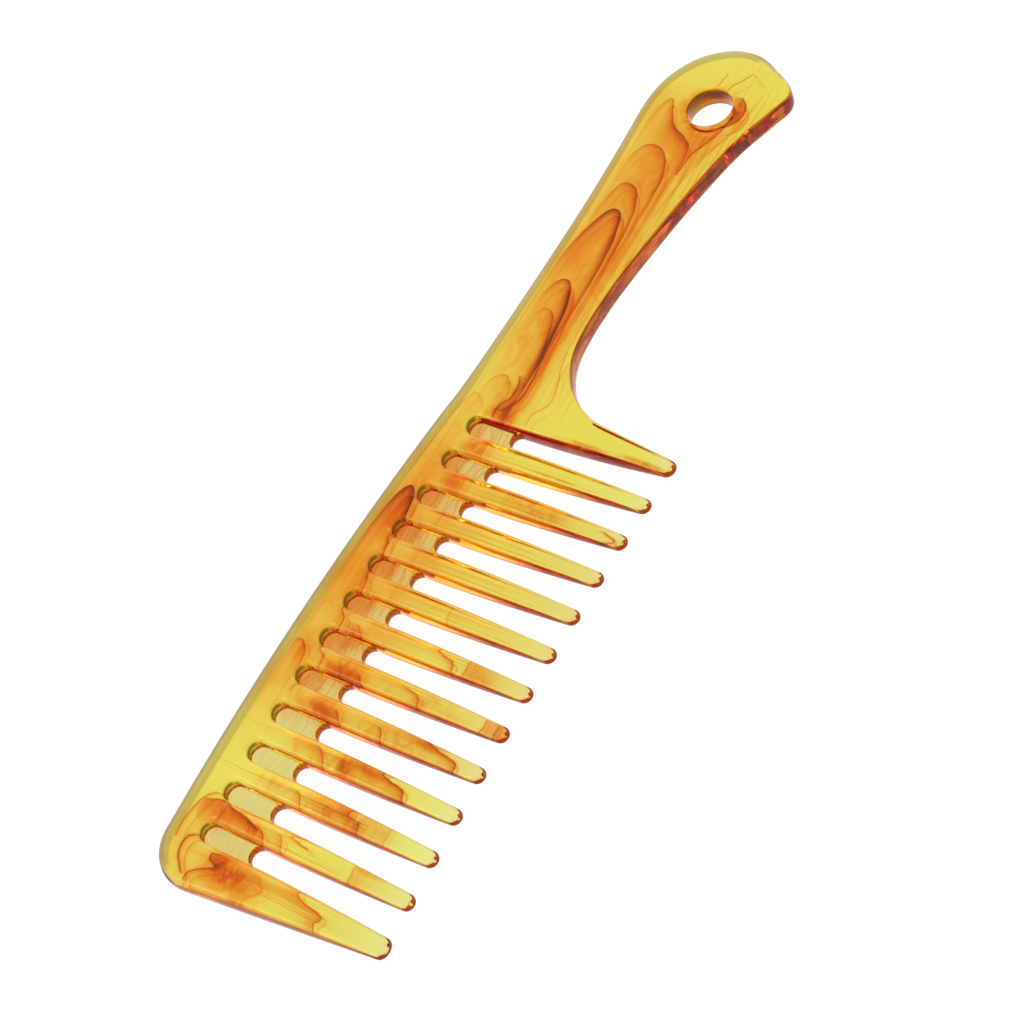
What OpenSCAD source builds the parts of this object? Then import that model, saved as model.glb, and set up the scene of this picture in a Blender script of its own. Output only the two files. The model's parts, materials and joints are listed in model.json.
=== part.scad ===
// Wide-tooth hair comb with a hanging hole, moulded in one piece of plastic.
// Its regions are separate nodes that meet face to face.
// The comb lies flat: +Z is its front face, +X runs to the handle and the
// teeth point to -Y. In the drawing frame the middle tooth is on x = 0.

/* [Comb] */
// Distance between the centres of two teeth
pitch = 9; // [8.5:0.1:9.5]
// Thickness of the handle, the spine and the roots of the teeth
body_t = 4.8; // [4:0.1:6]
// Number of teeth, an odd number
teeth = 13; // [13]
// Highest point of the back, above the lowest tips
back_y = 58.1; // [57:0.1:60]
// Radius of the slow curve of the back
back_r = 672; // [600:10:900]

/* [Teeth] */
// Width of a tooth at its root
tooth_w = 5.2; // [4.8:0.1:5.4]
// Width of a tooth just above its rounded tip
tip_w = 3.4; // [2.8:0.1:3.8]
// Thickness of a tooth just above its rounded tip
tip_t = 1.8; // [1.4:0.1:2.4]
// Length of the rounded tip
tip_len = 1.7; // [1.2:0.1:2]
// Height of the middle tip above the lowest tips
tip_rise = 1.8; // [1:0.1:2.5]
// Corner radius of a tooth
tooth_r = 1.1; // [0.8:0.1:1.2]

/* [Webs] */
// Thickness of the thin web that closes the top of each slot
web_t = 2.2; // [1.6:0.1:2.4]
// Height of the middle web's free edge
web_y = 39.2; // [38:0.1:41]

/* [Spine] */
// Height of the spine between its back and the round ends of the slots
spine_h = 10.4; // [9:0.1:11]
// How far the rounding of the back reaches over the faces
back_round = 2.6; // [2:0.1:4]
// Radius of the corner at the free end
corner_r = 9.5; // [6:0.5:10]

/* [Handle] */
// Diameter of the hanging hole
hole_d = 10; // [6:0.5:11]
// How far the rounding of the inner edge reaches over the faces
inner_round = 0.9; // [0.4:0.1:1.5]

/* [Hidden] */
half = (teeth - 1) / 2;
slot_w = pitch - tooth_w;
back_x = -pitch;                     // the highest point of the back
free_x = -6.8 * pitch;               // the free end of the spine
split_x = 59;                        // the spine and tooth 1 meet the handle
split_y = 22;                        // the lowest point of that face
hole_at = [140.1, 38.4];              // centre of the hanging hole
side_band = 0.46;                    // share of the thickness in each rounding
steps = 5;                           // facets in each rounding
round_fn = 48;                       // sides of a slot's round end
hole_fn = 64;                        // sides of the hanging hole
end_tip = 0.2;                       // height of the end tips
tip_bow = pow(half * pitch, 2) / (2 * (tip_rise - end_tip));
web_bow = 459;                       // radius of the row of webs' free edges
outer_tip = -56.4;                   // outer side of the last tooth at its tip
guard_tip = 56;                      // outer side of tooth 1 at its tip
lean = 0.25;                         // tooth 1's inner side leans out by this share
root_gap = 3.2;                      // a tooth is at full size this far below its web
width_power = 1.57;                  // how fast a tooth widens above its tip
thick_power = 1.9;                   // how fast it thickens
dome_start = 20;                     // a tip ends in a small flat at this angle
dome_step = 23;                      // angle between two sections of a rounded tip
tooth_steps = 6;                     // sections from there to the full size
under_spine = 42;                    // height of a tooth's last level section
flat_tip = 0.35;                     // share of the thickness left at the very tip
most_round = 0.42;                   // largest corner radius, as a share of a side
corner_pts = 4;                      // points on each corner of a tooth's section

function pad(n) = str(n < 10 ? "0" : "", n);
TEETH = [for (i = [1:teeth]) str("tooth_", pad(i))];
WEBS = [for (i = [1:teeth - 1]) str("web_", pad(i))];

// Centre of tooth i: tooth 1 is beside the handle
function tooth_x(i) = (half + 1 - i) * pitch;
// Centre of slot i, between tooth i and tooth i + 1
function slot_x(i) = (half + 0.5 - i) * pitch;
// Height of the back, the slots' round ends, the tips and the webs' free edges
function back_at(x) = back_y - pow(x - back_x, 2) / (2 * back_r);
function root_at(x) = back_at(x) - spine_h;
function tip_at(x) = tip_rise - x * x / (2 * tip_bow);
function web_at(x) = web_y - x * x / (2 * web_bow);

// Straight runs of the spine's lower side, from one slot to the next
ROOT_X = concat([free_x], [for (i = [teeth - 1:-1:1]) slot_x(i)], [split_x]);
ROOT = [for (x = ROOT_X) [x, root_at(x)]];

// A smooth curve through hand-placed points
function bend(p, i, u) =
    let (a = p[max(i - 1, 0)], b = p[i], c = p[i + 1])
    let (d = p[min(i + 2, len(p) - 1)])
    0.5 * (2 * b + (c - a) * u + (2 * a - 5 * b + 4 * c - d) * u * u
        + (3 * b - a - 3 * c + d) * u * u * u);
function smooth(p, n) = concat(
    [for (i = [0:len(p) - 2], k = [0:n - 1]) bend(p, i, k / n)],
    [p[len(p) - 1]]);
// Unit vector that points left of the way the outline runs at point i
function inward(p, i) =
    let (a = p[max(i - 1, 0)], b = p[min(i + 1, len(p) - 1)], v = b - a)
    [-v.y, v.x] / norm(v);
function lerp(a, b, u) = a + (b - a) * min(max(u, 0), 1);

// The handle's edge, from tooth 1 along the inner side, round the end and back
span = 4;                            // path points from one placed point to the next
HANDLE_PATH = smooth([
    [split_x, split_y], [61.2, 26.3], [65.1, 30.6], [70.8, 33.7], [78, 34.9],
    [90, 34.7], [104, 33.1], [118, 30.9], [132, 27.9], [142, 24.2],
    [147.5, 22.3], [151.1, 24.2], [154.6, 29], [157.7, 35], [157.6, 42],
    [153.7, 48.9], [146.9, 53.4], [138.6, 54.9], [126, 54.3], [110, 53.8],
    [92, 53.8], [75, 54.1], [split_x, back_at(split_x)]], span);
HANDLE_LAST = len(HANDLE_PATH) - 1;
// Path points that the three stretches of the handle run between: from the
// first to the second along the inner side, and from the third to the fourth
// back along the outer side
NECK = [0, 4 * span, 21 * span, HANDLE_LAST];
GRIP = [NECK[1], 8 * span, 18 * span, NECK[2]];
END = [GRIP[1], 13 * span, 13 * span + 1, GRIP[2]];
// The rounding grows from inner_round to back_round round the end of the
// handle, from its beak to its bulb, and from its inner to its outer side
BEAK_TO_BULB = [148, 157];
INNER_TO_OUTER = [40, 48];
function share(v, range) = (v - range[0]) / (range[1] - range[0]);
function handle_round(p) = lerp(inner_round, back_round,
    max(share(p.x, BEAK_TO_BULB), share(p.y, INNER_TO_OUTER)));
function towards(i, k) =
    let (v = HANDLE_PATH[k] - HANDLE_PATH[i]) v / norm(v);
// At the two ends of a cut face the inset runs along the cut
function cut_end(i, s) =
    i == s[0] ? s[3] : i == s[3] ? s[0] :
    s[2] - s[1] == 1 ? i : i == s[1] ? s[2] : i == s[2] ? s[1] : i;
// Beside tooth 1 it turns from +Y to the inward direction
function turned_in(i) =
    let (u = min(i / span, 1)) [0, 1 - u] + u * inward(HANDLE_PATH, i);
function handle_inset(i, s) =
    (cut_end(i, s) == i ? turned_in(i) : towards(i, cut_end(i, s)))
    * handle_round(HANDLE_PATH[i]);

// The spine's edge: along the back, round the corner, then the lower side
back_steps = 16;                     // straight runs along the back
corner_turn = 15;                    // angle between two points on the corner
CORNER = [free_x + corner_r, back_at(free_x + corner_r) - corner_r];
SPINE_PATH = concat(
    [for (k = [0:back_steps])
        let (x = lerp(split_x, CORNER.x, k / back_steps)) [x, back_at(x)]],
    [for (a = [90 + corner_turn:corner_turn:180])
        CORNER + corner_r * [cos(a), sin(a)]],
    [ROOT[0]]);
SPINE_LAST = len(SPINE_PATH) - 1;
// Past the corner the rounding narrows to half at the last tooth
function spine_inset(i) =
    i == 0 ? [0, -back_round] : i == SPINE_LAST ? [back_round / 2, 0] :
    inward(SPINE_PATH, i) * back_round * (i < SPINE_LAST - 2 ? 1 : 0.7);
// The plate runs past the lower side, which is cut to fit the teeth
spare = 5;
SPINE_LOWER = [for (x = [free_x, split_x]) [x, ROOT[0].y - spare]];
SPINE_CUT = concat([[split_x, back_y + spare], [free_x - spare, back_y + spare],
    [free_x - spare, ROOT[0].y]], ROOT);

X_MAX = max([for (p = HANDLE_PATH) p.x]);
Y_MIN = tip_at(tooth_x(1)) + tip_len * (1 - cos(dome_start));
CENTRE = [(X_MAX + free_x) / 2, (back_y + Y_MIN) / 2];

// A plate with rounded edges. Each outline point has its own inset, and a
// point on a cut face has none, so the cut stays flat. The faces are strips
// of triangles between the outline's first points and the rest.
module plate(outline, inset, first) {
    n = len(outline);
    rest = n - first;
    rings = 2 * steps + 2;
    function turn(j) = 90 * (j <= steps ? 1 - j / steps : (j - steps - 1) / steps);
    function side(j) = j <= steps ? 1 : -1;
    function level(j) = side(j) * body_t * (0.5 - side_band * (1 - sin(turn(j))));
    function point(i, j) =
        let (p = outline[i] + inset[i] * (1 - cos(turn(j)))) [p.x, p.y, level(j)];
    function across(i) = n - 1 - floor(i * (rest - 1) / (first - 1));
    strip = concat(
        [for (i = [0:first - 2]) [i, i + 1, across(i)]],
        [for (i = [0:first - 2]) if (across(i + 1) < across(i))
            [i + 1, across(i + 1), across(i)]]);
    polyhedron(
        [for (j = [0:rings - 1], i = [0:n - 1]) point(i, j)],
        concat(
            [for (t = strip) [t[2], t[1], t[0]]],
            [for (t = strip) t + [1, 1, 1] * (rings - 1) * n],
            [for (j = [0:rings - 2], i = [0:n - 1]) let (k = (i + 1) % n)
                [j * n + i, j * n + k, (j + 1) * n + k]],
            [for (j = [0:rings - 2], i = [0:n - 1]) let (k = (i + 1) % n)
                [j * n + i, (j + 1) * n + k, (j + 1) * n + i]]));
}

// How far a tooth has grown, from 0 above its tip to 1 at its root
function grown(y, x, power) =
    let (low = tip_at(x) + tip_len, high = web_at(x) - root_gap)
    1 - pow(1 - lerp(0, 1, (y - low) / (high - low)), power);
function side_w(y, x) = lerp(tip_w, tooth_w, grown(y, x, width_power)) / 2;
// Left and right sides of tooth i at height y: the end teeth have an outer side
// of their own
function left_at(y, i) = i == teeth
    ? lerp(outer_tip, free_x, (y - Y_MIN) / (ROOT[0].y - Y_MIN))
    : tooth_x(i) - side_w(y, tooth_x(i))
        + (i == 1 ? lean * (tooth_w / 2 - side_w(y, tooth_x(i))) : 0);
function right_at(y, i) = i == 1
    ? lerp(guard_tip, split_x, y / split_y)
    : tooth_x(i) + side_w(y, tooth_x(i));
function thick_at(y, i) = i == 1
    ? lerp(tip_t, body_t,
        1 - pow(1 - lerp(0, 1, (y - tip_len) / split_y), thick_power))
    : lerp(tip_t, body_t, grown(y, tooth_x(i), thick_power));

// Heights of a tooth's sections, from its tip to the spine
function tooth_levels(i) =
    let (x = tooth_x(i), tip = tip_at(x), full = tip + tip_len)
    let (high = web_at(x) - root_gap)
    concat(
        [for (a = [dome_start:dome_step:89]) tip + tip_len * (1 - cos(a))],
        [for (k = [0:tooth_steps]) full + (high - full) * k / tooth_steps],
        i == 1 ? [split_y] : [], [under_spine]);
function sorted(v) = len(v) < 2 ? v :
    let (a = v[0], rest = [for (k = [1:len(v) - 1]) v[k]])
    concat(sorted([for (e = rest) if (e < a) e]), [a],
        sorted([for (e = rest) if (e >= a) e]));

// One tooth: rounded sections from the tip up, and a top cut to fit the spine
module tooth(i) {
    x = tooth_x(i);
    tip = tip_at(x);
    levels = sorted(tooth_levels(i));
    last = len(levels);
    ring = 4 * corner_pts;
    function tip_share(y) =
        y >= tip + tip_len ? 1 : sqrt(1 - pow(1 - (y - tip) / tip_len, 2));
    function corner(y, k) =
        let (a = left_at(y, i), b = right_at(y, i), f = tip_share(y))
        let (w = (b - a) * f, t = thick_at(y, i) * lerp(flat_tip, 1, f))
        let (r = min(tooth_r, most_round * t, most_round * w))
        let (q = floor(k / corner_pts), step = 90 / (corner_pts - 1))
        let (turn = q * 90 + (k % corner_pts) * step)
        let (sx = (q == 0 || q == 3) ? 1 : -1)
        [(a + b) / 2 + sx * (w / 2 - r) + r * cos(turn),
            (q < 2 ? 1 : -1) * (t / 2 - r) + r * sin(turn)];
    function point(j, k) =
        let (c = corner(j == last ? levels[last - 1] : levels[j], k))
        j < last ? [c.x, levels[j], c.y] : [c.x, lookup(c.x, ROOT), c.y];
    polyhedron(
        [for (j = [0:last], k = [0:ring - 1]) point(j, k)],
        concat(
            [[for (k = [0:ring - 1]) k]],
            [[for (k = [ring - 1:-1:0]) last * ring + k]],
            [for (j = [0:last - 1], k = [0:ring - 1]) let (m = (k + 1) % ring)
                [j * ring + k, (j + 1) * ring + k, (j + 1) * ring + m]],
            [for (j = [0:last - 1], k = [0:ring - 1]) let (m = (k + 1) % ring)
                [j * ring + k, (j + 1) * ring + m, j * ring + m]]));
}

// One web: round at the spine, hollowed where the open slot begins
module web(i) {
    x = slot_x(i);
    top = lookup(x, ROOT);
    low = web_at(x) - slot_w / 2;
    difference() {
        union() {
            translate([x, top, -web_t / 2])
                cylinder(h = web_t, d = slot_w, $fn = round_fn);
            translate([x - slot_w / 2, low, -web_t / 2])
                cube([slot_w, top - low, web_t]);
        }
        translate([x, low, -web_t])
            cylinder(h = 2 * web_t, d = slot_w, $fn = round_fn);
    }
}

module place() {
    translate([-CENTRE.x, -CENTRE.y, body_t / 2]) children();
}

module handle_stretch(s) {
    ids = concat([for (i = [s[0]:s[1]]) i], [for (i = [s[2]:s[3]]) i]);
    plate([for (i = ids) HANDLE_PATH[i]], [for (i = ids) handle_inset(i, s)],
        s[1] - s[0] + 1);
}

module neck() {
    color("orange")
    place()
    handle_stretch(NECK);
}

module grip() {
    color("goldenrod")
    place()
    handle_stretch(GRIP);
}

module handle_end() {
    color("gold")
    place()
    difference() {
        handle_stretch(END);
        translate([hole_at.x, hole_at.y, -body_t])
            cylinder(h = 2 * body_t, d = hole_d, $fn = hole_fn);
    }
}

module spine() {
    color("darkgoldenrod")
    place()
    intersection() {
        plate(concat(SPINE_PATH, SPINE_LOWER), concat(
            [for (i = [0:SPINE_LAST]) spine_inset(i)],
            [for (p = SPINE_LOWER) [0, 0]]), floor(SPINE_LAST / 2) + 3);
        translate([0, 0, -body_t])
            linear_extrude(2 * body_t)
                difference() {
                    polygon(SPINE_CUT);
                    for (i = [1:teeth - 1])
                        translate([slot_x(i), lookup(slot_x(i), ROOT)])
                            circle(d = slot_w, $fn = round_fn);
                }
    }
}

module tooth_region(i) {
    color("gold")
    place()
    tooth(i);
}

module web_region(i) {
    color("khaki")
    place()
    web(i);
}

neck();
grip();
handle_end();
spine();
for (i = [1:teeth])
    tooth_region(i);
for (i = [1:teeth - 1])
    web_region(i);
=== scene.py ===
import json
import math

import bmesh
import bpy
from mathutils import Matrix, Vector
from mathutils.geometry import delaunay_2d_cdt


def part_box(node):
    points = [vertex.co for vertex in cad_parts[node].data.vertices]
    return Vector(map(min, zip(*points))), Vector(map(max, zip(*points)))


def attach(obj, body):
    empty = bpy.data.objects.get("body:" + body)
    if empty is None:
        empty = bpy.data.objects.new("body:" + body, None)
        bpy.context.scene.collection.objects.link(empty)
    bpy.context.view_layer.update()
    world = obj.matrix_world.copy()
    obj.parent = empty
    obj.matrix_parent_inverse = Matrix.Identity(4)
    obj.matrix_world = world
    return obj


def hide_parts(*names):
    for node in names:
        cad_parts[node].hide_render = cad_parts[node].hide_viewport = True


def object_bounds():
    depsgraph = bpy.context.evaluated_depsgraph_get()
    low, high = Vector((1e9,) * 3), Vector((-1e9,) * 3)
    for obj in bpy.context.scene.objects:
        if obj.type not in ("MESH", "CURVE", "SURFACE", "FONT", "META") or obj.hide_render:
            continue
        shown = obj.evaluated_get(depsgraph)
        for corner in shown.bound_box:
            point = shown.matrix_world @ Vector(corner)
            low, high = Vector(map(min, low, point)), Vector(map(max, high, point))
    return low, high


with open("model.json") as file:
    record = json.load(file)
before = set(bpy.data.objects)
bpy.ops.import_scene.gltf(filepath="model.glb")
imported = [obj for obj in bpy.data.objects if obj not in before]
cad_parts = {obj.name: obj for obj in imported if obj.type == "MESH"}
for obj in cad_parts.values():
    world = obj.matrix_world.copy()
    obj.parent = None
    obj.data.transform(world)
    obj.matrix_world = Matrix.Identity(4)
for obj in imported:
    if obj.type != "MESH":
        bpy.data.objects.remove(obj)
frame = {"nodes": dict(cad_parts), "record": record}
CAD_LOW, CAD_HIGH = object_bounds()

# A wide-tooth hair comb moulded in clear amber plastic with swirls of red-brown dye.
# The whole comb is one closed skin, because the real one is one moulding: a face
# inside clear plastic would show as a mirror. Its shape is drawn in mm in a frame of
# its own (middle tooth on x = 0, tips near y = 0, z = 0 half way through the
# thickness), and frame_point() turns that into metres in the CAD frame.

MM = 0.001
TEETH = 13
MIDDLE = (TEETH + 1) // 2
FIRST_TIP = 0.3                      # height of the two end tips in the drawing frame

# ---------------------------------------------------------------------------
# The drawing frame, taken from the CAD
# ---------------------------------------------------------------------------


def cad_box(node):
    """Lowest and highest corners of a CAD node, in mm in the CAD frame."""
    low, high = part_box(node)
    return low / MM, high / MM


def middle(node):
    low, high = cad_box(node)
    return (low + high) / 2


ORIGIN = Vector((middle(f"tooth_{MIDDLE:02d}").x, CAD_LOW.y / MM - FIRST_TIP,
                 (CAD_LOW.z + CAD_HIGH.z) / 2 / MM))


def frame_point(x, y, z=0.0):
    return (Vector((x, y, z)) + ORIGIN) * MM


def drawing_box(node):
    low, high = cad_box(node)
    return low - ORIGIN, high - ORIGIN


WEB_BOXES = [drawing_box(f"web_{i:02d}") for i in range(1, TEETH)]
TOOTH_BOXES = [drawing_box(f"tooth_{i:02d}") for i in range(1, TEETH + 1)]
SLOTS = [(low.x + high.x) / 2 for low, high in WEB_BOXES]
PITCH = SLOTS[0] - SLOTS[1]
HALF_SLOT = (WEB_BOXES[0][1].x - WEB_BOXES[0][0].x) / 2
HALF_WEB = (WEB_BOXES[0][1].z - WEB_BOXES[0][0].z) / 2
HALF_BODY = (CAD_HIGH.z - CAD_LOW.z) / 2 / MM
BACK_TOP = CAD_HIGH.y / MM - ORIGIN.y
FREE_X = CAD_LOW.x / MM - ORIGIN.x
SPLIT_X = drawing_box("spine")[1].x
HOLE = next(m for m in frame["record"]["mounts"] if m["name"] == "hanging_hole")
# The hole's centre in tooth pitches
HOLE_UV = [(HOLE["pos_m"][k] / MM - ORIGIN[k]) / PITCH for k in (0, 1)]


# ---------------------------------------------------------------------------
# The outline: one closed loop round the comb, anticlockwise
# ---------------------------------------------------------------------------

BACK_X, BACK_R = -PITCH, 672.0       # top of the back's slow curve, and its radius
CORNER_R = 9.5
TIP_LEN, TIP_W, TIP_T = 1.7, 3.4, 1.8
WIDTH_POWER, THICK_POWER = 1.57, 1.9
ROOT_GAP = 3.2                       # a tooth is at full size this far below its web
LEAN = 0.25                          # the guard's inner side leans out by this share
OUTER_TIP, GUARD_TIP = -56.4, 56.0   # outer sides of the two end teeth at their tips
GUARD_TOP = 22.0                     # where the guard's outer side meets the handle
STEP = 0.8                           # spacing of the outline's points
TURN_POINTS = 24                     # points round a slot's end and round the corner
HAND_OVER_X = 50.0                   # the handle's outline runs on into the back's to here

# The handle, from the guard tooth along the inner side, round the end and back
HANDLE = [(59, 22), (61.2, 26.3), (65.1, 30.6), (70.8, 33.7), (78, 34.9), (90, 34.7),
          (104, 33.1), (118, 30.9), (132, 27.9), (142, 24.2), (147.5, 22.3),
          (151.1, 24.2), (154.6, 29), (157.7, 35), (157.6, 42), (153.7, 48.9),
          (146.9, 53.4), (138.6, 54.9), (126, 54.3), (110, 53.8), (92, 53.8),
          (75, 54.1)]


def mix(a, b, share):
    return a + (b - a) * min(max(share, 0.0), 1.0)


def back_at(x):
    return BACK_TOP - (x - BACK_X) ** 2 / (2 * BACK_R)


def slot_end(i):
    """Centre height of the round end of slot i."""
    return WEB_BOXES[i - 1][1].y - HALF_SLOT


def web_edge(i):
    """Height of the middle of web i's free edge."""
    return WEB_BOXES[i - 1][0].y + HALF_SLOT


def tip_at(i):
    return TOOTH_BOXES[i - 1][0].y


def tooth_x(i):
    return (MIDDLE - i) * PITCH


def full_at(i):
    """Height at which tooth i has its full width and thickness."""
    near = [web_edge(k) for k in (i - 1, i) if 1 <= k < TEETH]
    return sum(near) / len(near) - ROOT_GAP


def grown(y, i, power):
    low = tip_at(i) + TIP_LEN
    return 1 - (1 - mix(0, 1, (y - low) / (full_at(i) - low))) ** power


def half_width(y, i):
    return mix(TIP_W / 2, PITCH / 2 - HALF_SLOT, grown(y, i, WIDTH_POWER))


def left_at(y, i):
    if i == TEETH:
        return mix(OUTER_TIP, FREE_X, y / slot_end(TEETH - 1))
    full = PITCH / 2 - HALF_SLOT
    return tooth_x(i) - half_width(y, i) + (LEAN * (full - half_width(y, i)) if i == 1 else 0)


def right_at(y, i):
    if i == 1:
        return mix(GUARD_TIP, SPLIT_X, y / GUARD_TOP)
    return tooth_x(i) + half_width(y, i)


def half_thick(y, i):
    if i == 1:
        return mix(TIP_T, 2 * HALF_BODY,
                   1 - (1 - mix(0, 1, (y - TIP_LEN) / GUARD_TOP)) ** THICK_POWER) / 2
    return mix(TIP_T, 2 * HALF_BODY, grown(y, i, THICK_POWER)) / 2


class Edge:
    """A point of the outline and how the edge is rounded there: how far the rounding
    reaches over the face, how square it is (2 is an ellipse), half the thickness, and
    the direction the rounding goes, if it isn't square to the outline."""

    def __init__(self, x, y, reach, power, half=HALF_BODY, way=None):
        self.x, self.y, self.reach, self.power = x, y, reach, power
        self.half, self.way = half, way


TOOTH_REACH, TOOTH_POWER = 1.35, 2.4
LOW_SHARE, LOW_SPAN = 0.75, 20.0     # a tooth's reach is less over its lowest stretch
TIP_REACH, TIP_POWER = 1.0, 2.2
TIP_POINTS = 12
TIP_THIN = 0.6                       # share of the thickness left at the very tip
POCKET_REACH, POCKET_POWER = 2.3, 2.1
POCKET_SIDE = 0.75                   # share of the reach on a pocket's straight sides
POCKET_RISE = 12.0                   # height over which a tooth's reach turns into that
POCKET_TURN = 1.5                    # how soon it is full round the slot's end
BACK_REACH, BACK_POWER = 2.6, 2.0
CORNER_SHARE = 0.9                   # share of the back's reach below the corner
FREE_SHARE = 0.8                     # and along the outer side of the last tooth
FREE_Y, FREE_RISE = 30.0, 16.0       # where that side's reach starts to grow, and how far
INNER_REACH, INNER_POWER = 1.0, 3.6
BEAK_X, BEAK_SPAN = 146.0, 9.0       # the inner edge turns into the outer one along these
OUTER_Y, OUTER_SPAN = 38.0, 10.0
HOLE_REACH, HOLE_POWER = 0.8, 3.4
HOLE_POINTS = 96
EASE_PASSES = 6


def spaced(a, b):
    """Numbers from a towards b, about a step apart, without b itself."""
    count = max(1, round(abs(b - a) / STEP))
    return [a + (b - a) * k / count for k in range(count)]


def tooth_edge(i):
    """Down tooth i's left side, round its tip and up its right side."""
    tip = tip_at(i)
    foot = tip + TIP_LEN
    left_top = slot_end(i) if i < TEETH else slot_end(TEETH - 1)
    right_top = slot_end(i - 1) if i > 1 else GUARD_TOP

    def at(x, y):
        half = half_thick(y, i)
        reach = TOOTH_REACH * mix(LOW_SHARE, 1.0, (y - tip) / LOW_SPAN)
        if y > full_at(i):
            rise = (y - full_at(i)) / POCKET_RISE
            reach = mix(TOOTH_REACH, POCKET_REACH * POCKET_SIDE, rise)
        if i == TEETH and x < tooth_x(i):
            reach = mix(TOOTH_REACH, BACK_REACH * FREE_SHARE, (y - FREE_Y) / FREE_RISE)
        return Edge(x, y, reach, TOOTH_POWER, half)

    points = [at(left_at(y, i), y) for y in spaced(left_top, foot)]
    a, b = left_at(foot, i), right_at(foot, i)
    for k in range(TIP_POINTS + 1):
        turn = math.pi + math.pi * k / TIP_POINTS
        y = foot + TIP_LEN * math.sin(turn)
        half = half_thick(foot, i) * mix(TIP_THIN, 1.0, (y - tip) / TIP_LEN)
        points.append(Edge((a + b) / 2 + (b - a) / 2 * math.cos(turn), y,
                           TIP_REACH, TIP_POWER, half))
    points += [at(right_at(y, i), y) for y in spaced(foot, right_top)[1:]]
    return points


def slot_edge(i):
    """Over the round end of slot i, from its left side to its right side."""
    points = []
    for k in range(TURN_POINTS + 1):
        turn = math.pi * (1 - k / TURN_POINTS)
        reach = mix(POCKET_REACH * POCKET_SIDE, POCKET_REACH, math.sin(turn) * POCKET_TURN)
        points.append(Edge(SLOTS[i - 1] + HALF_SLOT * math.cos(turn),
                           slot_end(i) + HALF_SLOT * math.sin(turn), reach, POCKET_POWER))
    return points


def curve_through(points):
    """Catmull-Rom curve through given points."""
    done = []
    for i in range(len(points) - 1):
        a, b, c, d = [Vector(points[min(max(k, 0), len(points) - 1)])
                      for k in (i - 1, i, i + 1, i + 2)]
        count = max(2, round((c - b).length / STEP))
        for k in range(count):
            u = k / count
            done.append(0.5 * (2 * b + (c - a) * u + (2 * a - 5 * b + 4 * c - d) * u * u
                               + (3 * b - a - 3 * c + d) * u ** 3))
    return done + [Vector(points[-1])]


def handle_edge():
    """From the guard tooth along the inner side, round the end and back to the spine."""
    path = curve_through(HANDLE + [(x, back_at(x)) for x in (SPLIT_X, HAND_OVER_X)])
    points = []
    for p in path[1:]:
        outer = max((p.x - BEAK_X) / BEAK_SPAN, (p.y - OUTER_Y) / OUTER_SPAN)
        points.append(Edge(p.x, p.y, mix(INNER_REACH, BACK_REACH, outer),
                           mix(INNER_POWER, BACK_POWER, outer)))
    return points


def back_edge():
    """Along the back to the corner at the free end, and round it."""
    corner = Vector((FREE_X + CORNER_R, back_at(FREE_X + CORNER_R) - CORNER_R))
    points = [Edge(x, back_at(x), BACK_REACH, BACK_POWER)
              for x in spaced(HAND_OVER_X - STEP, corner.x)]
    for k in range(TURN_POINTS + 1):
        turn = math.pi / 2 * (1 + k / TURN_POINTS)
        points.append(Edge(corner.x + CORNER_R * math.cos(turn),
                           corner.y + CORNER_R * math.sin(turn), BACK_REACH, BACK_POWER))
    return points[:-1] + [Edge(FREE_X, y, BACK_REACH * CORNER_SHARE, BACK_POWER)
                          for y in spaced(corner.y, slot_end(TEETH - 1))]


def outline():
    points = handle_edge() + back_edge()
    for i in range(TEETH, 0, -1):
        points += tooth_edge(i)
        if i > 1:
            points += slot_edge(i - 1)[1:]
    return points


def eased(values):
    """A closed list of numbers with each drawn part of the way to its neighbours."""
    for _ in range(EASE_PASSES):
        values = [(values[k - 1] + 2 * values[k] + values[(k + 1) % len(values)]) / 4
                  for k in range(len(values))]
    return values


def ease_edges(points):
    """Blends the rounding from one stretch to the next."""
    for name in ("reach", "power", "half"):
        for p, v in zip(points, eased([getattr(p, name) for p in points])):
            setattr(p, name, v)


# ---------------------------------------------------------------------------
# The skin
# ---------------------------------------------------------------------------

RINGS, WEB_RINGS = 9, 5              # rings in the rounding of each face
SHARP = math.radians(38)             # edges sharper than this aren't smoothed
INSIDE_ONLY, NEAR = 1, 1e-9          # triangles inside the loops; closer points are one


def inward_normals(points):
    normals = []
    for k in range(len(points)):
        a, b = points[k - 1], points[(k + 1) % len(points)]
        along = Vector((b.x - a.x, b.y - a.y)).normalized()
        normals.append(points[k].way or Vector((-along.y, along.x)))
    return normals


def ring_points(points, normals, turn):
    """The outline moved inwards and up its rounding by an angle of 0 to 90 degrees."""
    ring = []
    for p, n in zip(points, normals):
        share = 2 / p.power
        inset = p.reach * (1 - max(math.cos(turn), 0) ** share)
        ring.append((p.x + n.x * inset, p.y + n.y * inset, p.half * math.sin(turn) ** share))
    return ring


def inside(x, y, loop):
    """Whether a point is inside a closed loop of 2-D points."""
    crossed = False
    for k in range(len(loop)):
        (x1, y1), (x2, y2) = loop[k - 1], loop[k]
        if (y1 > y) != (y2 > y) and x < x1 + (y - y1) * (x2 - x1) / (y2 - y1):
            crossed = not crossed
    return crossed


def join_rings(bm, lower, upper):
    for k in range(len(lower)):
        a, b = lower[k - 1], lower[k]
        c, d = upper[k], upper[k - 1]
        bm.faces.new((a, b, c, d))


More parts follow.
